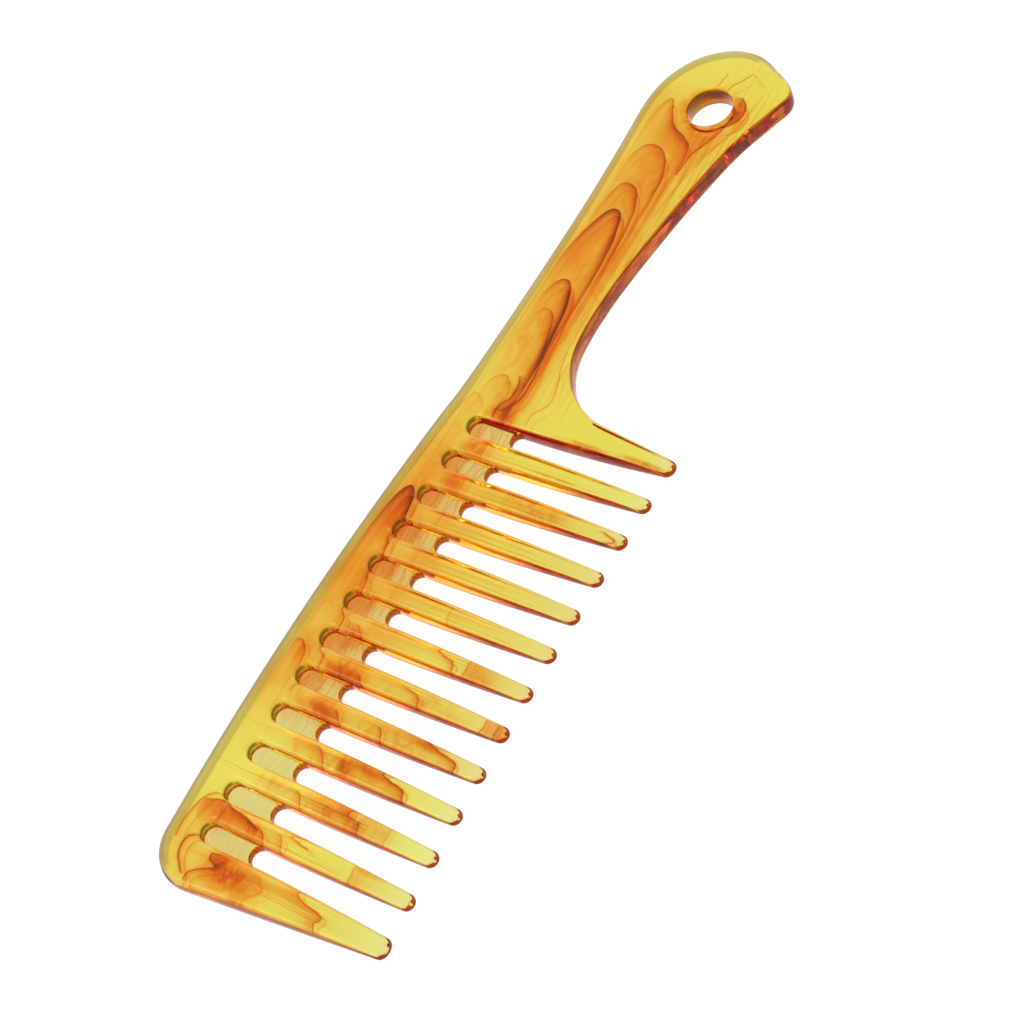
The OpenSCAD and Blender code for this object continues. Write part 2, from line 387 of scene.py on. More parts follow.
def rounded_slab(name, loops, rings):
    """A closed mesh from outline loops (the first round the outside, the rest round
    holes): rounded edges ring by ring, and a flat triangulated face on each side."""
    bm = bmesh.new()
    tops, bottoms = [], []
    for points in loops:
        normals = inward_normals(points)
        wall = []
        for j in range(-rings, rings + 1):
            turn = math.pi / 2 * abs(j) / rings
            sign = -1 if j < 0 else 1
            wall.append([bm.verts.new(frame_point(x, y, sign * z))
                         for x, y, z in ring_points(points, normals, turn)])
        for lower, upper in zip(wall, wall[1:]):
            join_rings(bm, lower, upper)
        tops.append(wall[-1])
        bottoms.append(wall[0])
    flat = [v for ring in tops for v in ring]
    under = [v for ring in bottoms for v in ring]
    edges, start = [], 0
    for ring in tops:
        count = len(ring)
        edges += [(start + k, start + (k + 1) % count) for k in range(count)]
        start += count
    coords = [v.co.xy for v in flat]
    _, _, faces, origins, *_ = delaunay_2d_cdt(coords, edges, [], INSIDE_ONLY, NEAR)
    outer, *holes = [[tuple(v.co.xy) for v in ring] for ring in tops]
    for face in faces:
        ids = [origins[k][0] for k in face]
        x = sum(coords[k].x for k in ids) / 3
        y = sum(coords[k].y for k in ids) / 3
        if inside(x, y, outer) and not any(inside(x, y, hole) for hole in holes):
            bm.faces.new([flat[k] for k in ids])
            bm.faces.new([under[k] for k in reversed(ids)])
    bmesh.ops.recalc_face_normals(bm, faces=bm.faces)
    mesh = bpy.data.meshes.new(name)
    bm.to_mesh(mesh)
    bm.free()
    return bpy.data.objects.new(name, mesh)


def hole_edge():
    """Clockwise round the hanging hole, from the record's mount."""
    centre = Vector(HOLE["pos_m"][:2]) / MM - ORIGIN.xy
    radius = HOLE["dims"]["r_mm"]
    points = []
    for k in range(HOLE_POINTS):
        turn = -2 * math.pi * k / HOLE_POINTS
        points.append(Edge(centre.x + radius * math.cos(turn),
                           centre.y + radius * math.sin(turn), HOLE_REACH, HOLE_POWER))
    return points


WEB_OVERLAP = 0.45                   # how far a web's plate is let into the walls
WEB_REACH, WEB_POWER = 0.9, 2.2      # rounding of a web's free edge
LET_IN_REACH, LET_IN_POWER = 0.02, 6    # and of the edges inside the walls
WEB_POINTS = 16
FREE_EDGE_TURN = math.radians(15)    # the hollow edge meets the slot's sides at this angle


def web_plate(i):
    """The thin web that closes the top of slot i, let into the walls on three sides."""
    x, low, top = SLOTS[i - 1], web_edge(i) - HALF_SLOT, slot_end(i)
    wide = HALF_SLOT + WEB_OVERLAP
    foot = low + HALF_SLOT * math.sin(FREE_EDGE_TURN)
    up = Vector((0, 1))

    def free(px, py):
        return Edge(px, py, WEB_REACH, WEB_POWER, HALF_WEB, up)

    points = [free(x - wide, foot)]
    for k in range(WEB_POINTS + 1):
        turn = mix(math.pi - FREE_EDGE_TURN, FREE_EDGE_TURN, k / WEB_POINTS)
        points.append(free(x + HALF_SLOT * math.cos(turn), low + HALF_SLOT * math.sin(turn)))
    points.append(free(x + wide, foot))
    for k in range(WEB_POINTS + 1):
        turn = math.pi * k / WEB_POINTS
        points.append(Edge(x + wide * math.cos(turn), top + wide * math.sin(turn),
                           LET_IN_REACH, LET_IN_POWER, HALF_WEB))
    return rounded_slab(f"plate_{i}", [points], WEB_RINGS)


def comb_moulding():
    loop = outline()
    ease_edges(loop)
    comb = rounded_slab("comb_moulding", [loop, hole_edge()], RINGS)
    scene.collection.objects.link(comb)
    plates = [web_plate(i) for i in range(1, TEETH)]
    for plate in plates:
        scene.collection.objects.link(plate)
        union = comb.modifiers.new(plate.name, "BOOLEAN")
        union.operation, union.solver, union.object = "UNION", "MANIFOLD", plate
    shape = comb.evaluated_get(bpy.context.evaluated_depsgraph_get())
    mesh = bpy.data.meshes.new_from_object(shape)
    comb.modifiers.clear()
    comb.data = mesh
    for plate in plates:
        bpy.data.objects.remove(plate)
    mesh.shade_smooth()
    mesh.set_sharp_from_angle(angle=SHARP)
    return comb


# ---------------------------------------------------------------------------
# Camera, floor and light
# ---------------------------------------------------------------------------

SENSOR = 36.0
LENS = 76.24
CAMERA_AT = Vector((-162.4, -225.9, 341.5)) * MM
LOOKS_AT = Vector((-12.65, 0.31, 0)) * MM
CAMERA_ROLL = math.radians(30.74)    # its up vector leans to the right by this much
FLOOR_HALF = 1.5                     # half the floor's side
FLOOR_DROP = 0.3 * MM                # the floor lies this far below the comb
FLOOR_GREY, FLOOR_GLOW = 0.15, 0.94  # the floor is lit from within, so it shows no shadow
SKY_HEIGHTS = (0.25, 0.6)            # the sky is bright up to the first of these
SKY_STRENGTHS = (0.95, 0.4)          # and dims towards the second
BOUNCES = 24                         # light runs a long way inside clear plastic

# Name, place, size and watts
SOFTBOXES = [("softbox_left", (-0.7, 0.5, 0.8), 0.6, 4),
             ("softbox_right", (0.7, -0.3, 0.8), 0.5, 2)]


def add_camera():
    data = bpy.data.cameras.new("camera")
    data.lens, data.sensor_width = LENS, SENSOR
    data.clip_start, data.clip_end = 0.01, 10
    camera = bpy.data.objects.new("camera", data)
    scene.collection.objects.link(camera)
    aim = (LOOKS_AT - CAMERA_AT).to_track_quat("-Z", "Y").to_matrix()
    roll = Matrix.Rotation(-CAMERA_ROLL, 3, "Z")
    camera.matrix_world = Matrix.Translation(CAMERA_AT) @ (aim @ roll).to_4x4()
    scene.camera = camera


def add_floor():
    bm = bmesh.new()
    bmesh.ops.create_grid(bm, x_segments=1, y_segments=1, size=FLOOR_HALF)
    mesh = bpy.data.meshes.new("floor")
    bm.to_mesh(mesh)
    bm.free()
    floor = bpy.data.objects.new("floor", mesh)
    floor.location.z = -FLOOR_DROP
    scene.collection.objects.link(floor)
    material = bpy.data.materials.new("lit_white_floor")
    material.use_nodes = True
    shader = material.node_tree.nodes["Principled BSDF"]
    shader.inputs["Base Color"].default_value = (FLOOR_GREY, FLOOR_GREY, FLOOR_GREY, 1)
    shader.inputs["Roughness"].default_value = 0.9
    shader.inputs["Specular IOR Level"].default_value = 0.1
    shader.inputs["Emission Color"].default_value = (1, 1, 1, 1)
    shader.inputs["Emission Strength"].default_value = FLOOR_GLOW
    mesh.materials.append(material)


def add_softbox(name, place, size, watts):
    data = bpy.data.lights.new(name, "AREA")
    data.shape, data.size, data.energy = "SQUARE", size, watts
    light = bpy.data.objects.new(name, data)
    light.location = place
    light.rotation_euler = (-Vector(place)).to_track_quat("-Z", "Y").to_euler()
    scene.collection.objects.link(light)


def add_sky():
    world = bpy.data.worlds.new("studio")
    world.use_nodes = True
    background = world.node_tree.nodes["Background"]
    background.inputs["Color"].default_value = (1, 1, 1, 1)
    n = Nodes(world.node_tree)
    apart = n.add("ShaderNodeSeparateXYZ")
    n.feed(apart.inputs[0], n.add("ShaderNodeTexCoord").outputs["Generated"])
    n.feed(background.inputs["Strength"], n.ramp(apart.outputs[2], *SKY_HEIGHTS, *SKY_STRENGTHS))
    scene.world = world


def add_lights():
    add_sky()
    for softbox in SOFTBOXES:
        add_softbox(*softbox)
    scene.cycles.max_bounces = BOUNCES
    scene.cycles.glossy_bounces = BOUNCES
    scene.cycles.transmission_bounces = BOUNCES


# ---------------------------------------------------------------------------
# Dye: swirls, in tooth pitches (u along the comb, v up from the tips)
# ---------------------------------------------------------------------------

# A front is the leading edge of a swirl: u at each height v. The dye is darkest on
# the edge and fades to the left. Its numbers: rim, how far the rim's dye reaches,
# glow, how far the glow reaches, share of the rim that the upper half keeps.
FRONTS = [
    ([(4.45, 7.6), (4.6, 8.15), (4.7, 8.5), (4.8, 8.72), (4.9, 8.86), (5.0, 8.93),
      (5.08, 8.95), (5.16, 8.93), (5.24, 8.88), (5.35, 8.7)], 0.9, 0.06, 0.35, 0.35, 0.5),
    ([(4.42, 7.2), (4.5, 8.0), (4.56, 8.5), (4.62, 9.0), (4.68, 9.25), (4.76, 9.48),
      (4.85, 9.66), (4.93, 9.78), (5.02, 9.84), (5.12, 9.86), (5.22, 9.81), (5.32, 9.68),
      (5.42, 9.45), (5.5, 9.1)], 1.7, 0.08, 0.6, 0.3, 0.4),
    ([(4.42, 9.6), (4.47, 10.5), (4.53, 11.1), (4.6, 11.45), (4.66, 11.7), (4.74, 11.92),
      (4.84, 12.04), (4.95, 12.08), (5.05, 12.07), (5.15, 11.98), (5.27, 11.75),
      (5.38, 11.45), (5.48, 11.1), (5.56, 10.7), (5.6, 10.3), (5.62, 9.8)],
     1.8, 0.1, 0.9, 0.4, 0.6),
    ([(4.3, 10.2), (4.36, 11.2), (4.42, 11.8), (4.5, 12.2), (4.6, 12.45), (4.7, 12.65),
      (4.8, 12.77), (4.92, 12.85), (5.05, 12.88), (5.17, 12.87), (5.27, 12.8),
      (5.34, 12.6), (5.4, 12.35), (5.44, 12.1), (5.48, 11.8)], 1.2, 0.06, 0.6, 0.3, 0.6),
    ([(4.55, 12.6), (4.65, 12.78), (4.75, 12.9), (4.85, 12.99), (4.95, 13.03),
      (5.05, 13.02), (5.12, 12.98)], 0.5, 0.03, 0.0, 0.1, 0.6),
    ([(4.22, 12.0), (4.26, 12.8), (4.32, 13.25), (4.4, 13.5), (4.5, 13.75), (4.62, 13.92),
      (4.75, 14.04), (4.9, 14.12), (5.05, 14.15), (5.18, 14.13), (5.3, 14.05),
      (5.4, 13.88), (5.46, 13.7), (5.5, 13.4)], 1.1, 0.06, 0.6, 0.35, 0.6),
    ([(4.06, 13.5), (4.09, 14.0), (4.14, 14.25), (4.22, 14.4), (4.35, 14.5), (4.5, 14.6),
      (4.65, 14.68), (4.8, 14.78), (4.92, 14.9), (5.0, 15.03), (5.1, 15.22),
      (5.2, 15.42), (5.28, 15.56), (5.35, 15.6), (5.42, 15.56), (5.5, 15.4),
      (5.56, 15.2), (5.6, 14.9), (5.62, 14.5)], 1.3, 0.08, 0.55, 0.3, 0.5),
    ([(5.28, 2.6), (5.34, 3.0), (5.42, 3.3), (5.5, 3.45), (5.58, 3.54), (5.66, 3.55),
      (5.74, 3.48), (5.82, 3.33), (5.9, 3.05), (5.96, 2.6), (6.0, 2.2), (6.03, 1.6)],
     1.9, 0.1, 0.9, 0.4, 0.6),
    ([(5.56, -1.3), (5.6, -1.05), (5.66, -0.95), (5.75, -0.85), (5.85, -0.78),
      (5.93, -0.77), (6.0, -0.83), (6.03, -0.95)], 0.8, 0.04, 0.6, 0.2, 0.9),
    ([(5.62, 0.15), (5.7, 0.28), (5.77, 0.31), (5.85, 0.28), (5.95, 0.12)],
     0.35, 0.03, 0.0, 0.1, 0.9),
    ([(4.7, 6.3), (4.74, 6.55), (4.82, 6.75), (4.92, 6.87), (5.02, 6.94), (5.12, 6.95),
      (5.24, 6.9), (5.34, 6.78), (5.42, 6.6), (5.47, 6.35)], 0.7, 0.04, 0.2, 0.4, 0.5),
    ([(5.15, 6.0), (5.25, 6.17), (5.35, 6.25), (5.45, 6.3), (5.52, 6.3), (5.6, 6.25),
      (5.67, 6.1), (5.72, 5.9), (5.76, 5.6), (5.8, 5.2), (5.86, 4.6), (5.92, 4.0)],
     0.4, 0.03, 0.1, 0.3, 1.0),
    ([(3.57, 15.13), (3.7, 15.05), (3.85, 14.97), (4.0, 14.9), (4.2, 14.86), (4.35, 14.88),
      (4.5, 15.0), (4.6, 15.15)], 0.6, 0.03, 0.4, 0.25, 0.8),
    ([(4.1, -5.02), (4.35, -4.93), (4.6, -4.87), (4.9, -4.84), (5.1, -4.78),
      (5.25, -4.72), (5.4, -4.75), (5.55, -4.82), (5.75, -4.88)], 1.4, 0.09, 0.6, 0.25, 0.9),
    ([(3.85, 9.6), (3.95, 9.53), (4.05, 9.56), (4.15, 9.65), (4.25, 9.78)],
     0.35, 0.03, 0.0, 0.1, 1.0),
    ([(3.15, 16.48), (3.3, 16.58), (3.45, 16.68), (3.6, 16.78), (3.75, 16.85)],
     0.6, 0.02, 0.0, 0.1, 1.0),
]

# A line runs along the comb: v at each u. Its numbers: dye on the line, how far it
# reaches below, how far above.
LINES = [
    ([(6.0, 4.7), (6.3, 4.45), (6.6, 4.34), (7.0, 4.35), (7.5, 4.42), (8.0, 4.5),
      (8.5, 4.57), (9.0, 4.66), (9.3, 4.74), (9.6, 4.86)], 1.2, 0.1, 0.12),
    ([(5.8, 4.72), (5.9, 4.78), (6.05, 4.79), (6.3, 4.68), (6.5, 4.6), (6.7, 4.6),
      (6.9, 4.65), (7.05, 4.75)], 1.0, 0.05, 0.03),
    ([(5.85, 3.85), (6.0, 3.87), (6.15, 3.86), (6.3, 3.78), (6.45, 3.65), (6.6, 3.6),
      (6.8, 3.62), (7.1, 3.7), (7.5, 3.85), (8.0, 3.95)], 0.4, 0.02, 0.04),
    ([(12.0, 3.95), (13.0, 3.83), (13.5, 3.75), (14.0, 3.65), (14.4, 3.5), (14.8, 3.35),
      (15.3, 3.22), (15.8, 3.15), (16.3, 3.1)], 0.3, 0.03, 0.05),
    ([(13.4, 4.02), (13.9, 4.0), (14.15, 3.95), (14.4, 3.83), (14.65, 3.72), (14.9, 3.62),
      (15.13, 3.57)], 1.0, 0.03, 0.15),
    ([(15.05, 3.6), (15.2, 3.45), (15.4, 3.33), (15.6, 3.31), (15.8, 3.37), (15.95, 3.48),
      (16.05, 3.6)], 1.5, 0.02, 0.16),
    ([(16.0, 4.12), (16.2, 4.05), (16.35, 4.0), (16.5, 3.87), (16.65, 3.77), (16.8, 3.68)],
     0.6, 0.02, 0.03),
    ([(16.2, 4.42), (16.35, 4.36), (16.5, 4.35), (16.62, 4.33), (16.68, 4.36)],
     0.5, 0.02, 0.02),
    ([(-2.0, 5.4), (-1.6, 5.33), (-1.35, 5.18), (-1.1, 5.1), (-0.9, 5.2), (-0.6, 5.42),
      (-0.3, 5.27), (-0.1, 5.2), (0.1, 5.27), (0.4, 5.45), (0.7, 5.3), (0.9, 5.23),
      (1.1, 5.28), (1.4, 5.42), (1.8, 5.29), (2.0, 5.3), (2.3, 5.42), (2.7, 5.35),
      (2.85, 5.33)], 0.8, 0.02, 0.05),
    ([(-6.55, 5.2), (-6.4, 5.35), (-6.25, 5.5), (-6.1, 5.58), (-5.95, 5.6), (-5.8, 5.58),
      (-5.7, 5.48), (-5.62, 5.38)], 1.3, 0.05, 0.03),
    ([(-6.68, 5.07), (-6.5, 5.09), (-6.38, 5.0), (-6.27, 4.82), (-6.17, 4.62),
      (-6.12, 4.55), (-6.05, 4.7), (-5.97, 4.8), (-5.9, 4.8), (-5.84, 4.65),
      (-5.8, 4.5)], 1.0, 0.12, 0.02),
    ([(-5.9, 5.85), (-5.5, 5.9), (-5.2, 5.87), (-5.0, 5.82), (-4.85, 5.75), (-4.7, 5.6),
      (-4.62, 5.42), (-4.58, 5.35)], 0.8, 0.06, 0.02),
    ([(-5.3, 3.85), (-5.15, 3.9), (-5.0, 4.05), (-4.93, 4.2)], 0.7, 0.02, 0.15),
    # the teeth, from the free end
    ([(-6.42, 1.7), (-6.38, 1.72), (-6.25, 1.78), (-6.1, 1.7), (-6.03, 1.85),
      (-5.97, 2.15), (-5.9, 2.4), (-5.84, 2.46), (-5.78, 2.4)], 0.9, 0.02, 0.3),
    ([(-6.5, 3.5), (-6.35, 3.42), (-6.15, 3.24), (-6.0, 3.36), (-5.85, 3.5)],
     0.4, 0.03, 0.3),
    ([(-5.3, 3.36), (-5.2, 3.4), (-5.0, 3.5), (-4.9, 3.62)], 0.6, 0.03, 0.25),
    ([(-4.97, 2.8), (-4.93, 2.9), (-4.89, 3.15), (-4.85, 3.3), (-4.8, 3.15), (-4.76, 2.9)],
     0.7, 0.02, 0.08),
    ([(-5.3, 1.64), (-5.2, 1.63), (-5.05, 1.62), (-4.9, 1.65), (-4.78, 1.64)],
     0.5, 0.45, 0.02),
    ([(-4.3, 3.5), (-4.2, 3.55), (-4.0, 3.68), (-3.9, 3.85)], 0.7, 0.02, 0.12),
    ([(-4.25, 2.02), (-4.18, 2.05), (-4.05, 2.08), (-3.98, 2.14), (-3.95, 2.42),
      (-3.85, 2.42), (-3.75, 2.3)], 0.9, 0.02, 0.35),
    ([(-4.3, 1.4), (-4.1, 1.38), (-3.8, 1.38), (-3.7, 1.4)], 0.3, 0.03, 0.4),
    ([(-3.3, 1.5), (-3.22, 1.52), (-3.1, 1.57), (-3.0, 1.62), (-2.93, 1.85),
      (-2.86, 2.2), (-2.8, 2.25)], 1.3, 0.02, 0.25),
    ([(-3.3, 3.6), (-3.2, 3.63), (-3.0, 3.75), (-2.85, 4.0)], 0.8, 0.02, 0.15),
    ([(-2.3, 0.86), (-2.2, 0.88), (-2.05, 0.88), (-1.99, 0.95), (-1.93, 1.2),
      (-1.88, 1.45), (-1.8, 1.75)], 1.1, 0.02, 0.2),
    ([(-2.3, 2.7), (-2.2, 2.75), (-2.0, 2.83), (-1.92, 2.95)], 0.8, 0.02, 0.06),
    ([(-1.32, 2.35), (-1.22, 2.4), (-1.0, 2.5), (-0.93, 2.75), (-0.88, 2.95)],
     0.8, 0.02, 0.08),
    ([(-1.4, 0.86), (-1.2, 0.84), (-1.0, 0.78), (-0.85, 0.84)], 0.7, 0.5, 0.04),
    ([(-1.4, 0.5), (-1.2, 0.48), (-1.0, 0.48), (-0.85, 0.5)], 0.8, 0.12, 0.04),
    ([(-0.3, 2.08), (-0.2, 2.14), (-0.05, 2.18), (0.03, 2.26), (0.08, 2.5), (0.13, 2.65),
      (0.19, 2.6)], 0.9, 0.02, 0.08),
    ([(-0.4, 1.88), (-0.2, 1.86), (0.0, 1.84), (0.15, 1.85), (0.25, 1.86)],
     0.55, 0.5, 0.04),
    ([(0.6, 2.78), (0.75, 2.86), (0.95, 2.92), (1.2, 2.94)], 0.25, 0.15, 0.03),
    ([(3.76, 0.75), (3.8, 0.65), (3.85, 0.5), (3.92, 0.39), (3.97, 0.42), (4.02, 0.6),
      (4.07, 0.75)], 0.9, 0.02, 0.04),
    # the roots of the teeth
    ([(-1.6, 4.02), (-1.5, 3.95), (-1.36, 3.78), (-1.2, 3.95), (-1.05, 4.05)],
     0.7, 0.02, 0.2),
    ([(-2.5, 3.72), (-2.35, 3.75), (-2.15, 3.9), (-1.95, 4.1)], 0.7, 0.02, 0.2),
    ([(-0.55, 4.35), (-0.4, 4.45), (-0.2, 4.6), (0.0, 4.8)], 0.6, 0.04, 0.12),
]

# A cloud is a soft patch: u, v, how far it reaches in u and in v, tilt in degrees,
# and the dye at its middle.
CLOUDS = [
    # handle
    (8.0, 4.9, 2.6, 0.9, 3, 0.35), (10.8, 4.9, 2.4, 0.8, 0, 0.28),
    (13.0, 4.9, 1.8, 0.8, 3, 0.3), (14.6, 4.4, 0.9, 0.9, -35, 0.3),
    (6.3, 4.6, 0.9, 0.6, 0, 0.35), (11.0, 4.2, 4.5, 0.35, 0, 0.3),
    (15.55, 3.52, 0.5, 0.2, 5, 1.2), (15.85, 3.6, 0.25, 0.2, 30, 0.5),
    (15.4, 4.85, 0.4, 0.28, 30, 0.8), (15.85, 4.72, 0.35, 0.25, -30, 0.8),
    (16.12, 4.3, 0.16, 0.25, 0, 0.6), (15.05, 4.62, 0.2, 0.2, 45, 0.6),
    # spine
    (3.0, 5.6, 1.2, 0.5, -5, 0.5), (4.8, 5.5, 2.2, 0.6, 0, 0.2), (-0.9, 5.75, 0.6, 0.35, 10, 0.35),
    (1.0, 5.4, 1.2, 0.35, 0, 0.25), (-5.1, 5.2, 0.45, 0.8, 0, 0.95),
    (-6.15, 4.3, 0.55, 0.9, 0, 1.0), (-5.9, 4.6, 0.2, 0.4, 0, 0.6),
    # roots of the teeth
    (-2.1, 4.45, 0.45, 0.9, 0, 0.95), (-1.15, 4.5, 0.45, 0.9, 0, 1.05),
    (-0.35, 4.8, 0.4, 0.5, 0, 0.9), (0.6, 4.95, 0.35, 0.4, 0, 0.6),
    (1.55, 4.95, 0.35, 0.35, 0, 0.6), (2.6, 4.9, 0.35, 0.35, 0, 0.5),
    (4.0, 4.75, 0.45, 0.4, 0, 0.7), (4.95, 4.75, 0.45, 0.45, 0, 0.8),
    (5.9, 4.6, 0.35, 0.6, 0, 0.9), (-5.05, 4.4, 0.35, 0.6, 0, 0.6),
    (-4.0, 4.5, 0.4, 0.8, 0, 0.3), (-3.0, 4.2, 0.4, 0.8, 0, 0.4),
    # teeth
    (-6.58, 3.65, 0.14, 0.3, 0, 0.8), (-6.2, 3.7, 0.6, 0.6, 0, 0.35),
    (-4.85, 1.25, 0.08, 0.5, 0, 0.5), (-4.0, 2.6, 0.4, 1.8, 0, 0.6),
    (-4.08, 2.9, 0.22, 0.2, 0, 0.9), (-3.0, 2.9, 0.4, 1.6, 0, 0.6),
    (-3.05, 3.1, 0.3, 0.3, 0, 1.0), (-2.82, 2.9, 0.14, 0.6, 0, 0.6),
    (-2.1, 2.4, 0.45, 2.2, 0, 0.45), (-1.85, 1.7, 0.15, 0.7, 0, 0.4),
    (-1.1, 2.4, 0.45, 2.0, 0, 0.3), (-0.1, 1.4, 0.4, 0.6, 0, 0.3),
    (3.95, 2.3, 0.2, 0.7, 0, 0.4), (4.0, 2.6, 0.4, 1.8, 0, 0.35),
    (5.8, 2.2, 0.14, 1.2, 0, 0.9), (5.9, 0.7, 0.12, 0.9, 0, 0.8),
    (4.85, 2.5, 0.06, 0.8, 0, 0.5), (3.13, 2.6, 0.07, 0.6, 0, 0.5),
]

# Colour of the dye by its amount, as it tints light going in: none to darkest
DYE_TINTS = [(0.0, (1, 1, 1)), (0.5, (0.97, 0.40, 0.16)), (1.0, (0.86, 0.17, 0.04)),
             (1.5, (0.68, 0.06, 0.015)), (2.0, (0.34, 0.022, 0.015)), (3.0, (0.06, 0.006, 0.012))]
MOST_DYE = DYE_TINTS[-1][0]

SKIN = (0.86, 0.92, 0.95)            # what the clear surface itself holds back
PAINTED_BACK_SHADE = (0.48, 0.41, 0.50)            # painted shade of the rounded back: darker and olive
# painted shade of the recessed webs
PAINTED_WEB_SHADE = (0.90, 0.80, 0.60)
TOOTH_SHADE = (0.94, 0.95, 0.62)     # towards the tips


class Nodes:
    """Builds a material's node tree from expressions."""

    def __init__(self, tree):
        self.tree = tree

    def add(self, kind, **settings):
        node = self.tree.nodes.new(kind)
        for name, value in settings.items():
            setattr(node, name, value)
        return node

    def feed(self, socket, value):
        if isinstance(value, bpy.types.NodeSocket):
            self.tree.links.new(value, socket)
        else:
            socket.default_value = value

    def math(self, operation, *values):
        node = self.add("ShaderNodeMath", operation=operation)
        for socket, value in zip(node.inputs, values):
            self.feed(socket, value)
        return node.outputs[0]

    def ramp(self, value, low, high, to_low=0.0, to_high=1.0, soft=False):
        """value taken from low..high to to_low..to_high, and held there outside."""
        node = self.add("ShaderNodeMapRange", clamp=False,
                        interpolation_type="SMOOTHSTEP" if soft else "LINEAR")
        for socket, number in zip(node.inputs, (value, low, high, to_low, to_high)):
            self.feed(socket, number)
        if soft:
            return node.outputs[0]
        held = self.add("ShaderNodeClamp")
        limits = (node.outputs[0], min(to_low, to_high), max(to_low, to_high))
        for socket, number in zip(held.inputs, limits):
            self.feed(socket, number)
        return held.outputs[0]

    def curve(self, value, points):
        """A smooth curve through (x, y) points from 0 to 1, as a Float Curve."""
        node = self.add("ShaderNodeFloatCurve")
        line = node.mapping.curves[0]
        line.points[0].location, line.points[1].location = points[0], points[-1]
        for x, y in points[1:-1]:
            line.points.new(x, y)
        node.mapping.update()
        self.feed(node.inputs["Value"], value)
        return node.outputs[0]

    def noise(self, vector, scale, detail=2.0, distortion=0.0):
        node = self.add("ShaderNodeTexNoise")
        self.feed(node.inputs["Vector"], vector)
        for name, value in (("Scale", scale), ("Detail", detail), ("Distortion", distortion)):
            node.inputs[name].default_value = value
        return node.outputs["Fac"]


WARP_SCALE, WARP_U, WARP_V = 2.5, 0.05, -0.04    # a slow wave that bends the marbling
AHEAD = 0.02                         # share of a line over which its slope is measured
EDGE_BLUR = (-0.012, 0.006)          # a front's dye sets in between these distances


def comb_coordinates(n):
    """u and v in tooth pitches and w in half thicknesses, gently warped."""
    place = n.add("ShaderNodeTexCoord").outputs["Object"]
    pitches = n.add("ShaderNodeMapping", vector_type="POINT")
    per_m = 1 / (PITCH * MM)
    n.feed(pitches.inputs["Vector"], place)
    pitches.inputs["Scale"].default_value = (per_m, per_m, 1 / (HALF_BODY * MM))
    pitches.inputs["Location"].default_value = (-ORIGIN.x / PITCH, -ORIGIN.y / PITCH, -1)
    apart = n.add("ShaderNodeSeparateXYZ")
    n.feed(apart.inputs[0], pitches.outputs[0])
    wave = n.noise(pitches.outputs[0], WARP_SCALE)
    u = n.math("MULTIPLY_ADD", wave, WARP_U, n.math("ADD", apart.outputs[0], -WARP_U / 2))
    v = n.math("MULTIPLY_ADD", wave, WARP_V, n.math("ADD", apart.outputs[1], -WARP_V / 2))
    return pitches.outputs[0], u, v, apart.outputs[2]


def off_line(n, along, across, points):
    """Share of the way along a given line, and the distance off it."""
    first, last = points[0][0], points[-1][0]
    low, high = min(p[1] for p in points), max(p[1] for p in points)
    span = max(high - low, 0.01)
    shape = [((a - first) / (last - first), (b - low) / span) for a, b in points]
    share = n.ramp(along, first, last)
    here = n.curve(share, shape)
    there = n.curve(n.math("ADD", share, AHEAD), shape)
    rise = n.math("SUBTRACT", there, here)
    slope = n.math("MULTIPLY", rise, span / (AHEAD * (last - first)))
    square = n.math("MULTIPLY_ADD", slope, slope, 1.0)
    off = n.math("SUBTRACT", n.math("SUBTRACT", across, low), n.math("MULTIPLY", here, span))
    return share, n.math("MULTIPLY", off, n.math("INVERSE_SQRT", square))


def falling(n, distance, reach):
    """1 at no distance, fading away over the reach; 0 on the other side."""
    inside = n.math("MAXIMUM", distance, 0.0)
    fade = n.math("EXPONENT", n.math("MULTIPLY", inside, -1 / reach))
    return n.math("MULTIPLY", fade, n.ramp(distance, *EDGE_BLUR))


def front_dye(n, u, v, front):
    points, rim, rim_reach, glow, glow_reach, upper = front
    share, off = off_line(n, v, u, points)
    behind = n.math("MULTIPLY", off, -1.0)
    keep = n.curve(share, [(0, 0), (0.12, 1), (0.5, 1), (0.9, upper * 0.8), (1, 0)])
    dye = n.math("MULTIPLY", falling(n, behind, rim_reach), rim)
    if glow:
        dye = n.math("MULTIPLY_ADD", falling(n, behind, glow_reach), glow, dye)
    return n.math("MULTIPLY", dye, keep)


def line_dye(n, u, v, line):
    points, strength, below, above = line
    share, off = off_line(n, u, v, points)
    reach = n.ramp(off, -0.005, 0.005, 1 / below, 1 / above)
    fade = n.math("EXPONENT", n.math("MULTIPLY", n.math("ABSOLUTE", off),
                                     n.math("MULTIPLY", reach, -1.0)))
    thin = n.ramp(n.math("ABSOLUTE", off), 0.008, 0.024, 0.7 * strength, 0, soft=True)
    keep = n.curve(share, [(0, 0), (0.08, 1), (0.92, 1), (1, 0)])
    return n.math("MULTIPLY", n.math("MULTIPLY_ADD", fade, 0.8 * strength, thin), keep)


def cloud_dye(n, u, v, cloud):
    centre_u, centre_v, wide, high, tilt, strength = cloud
    cos, sin = math.cos(math.radians(tilt)), math.sin(math.radians(tilt))
    square = 0.0
    for along, up in ((cos / wide, sin / wide), (-sin / high, cos / high)):
        start = -centre_u * along - centre_v * up
        way = n.math("MULTIPLY_ADD", u, along, n.math("MULTIPLY_ADD", v, up, start))
        square = n.math("MULTIPLY_ADD", way, way, square)
    return n.ramp(n.math("SQRT", square), 0, 1, strength, 0, soft=True)


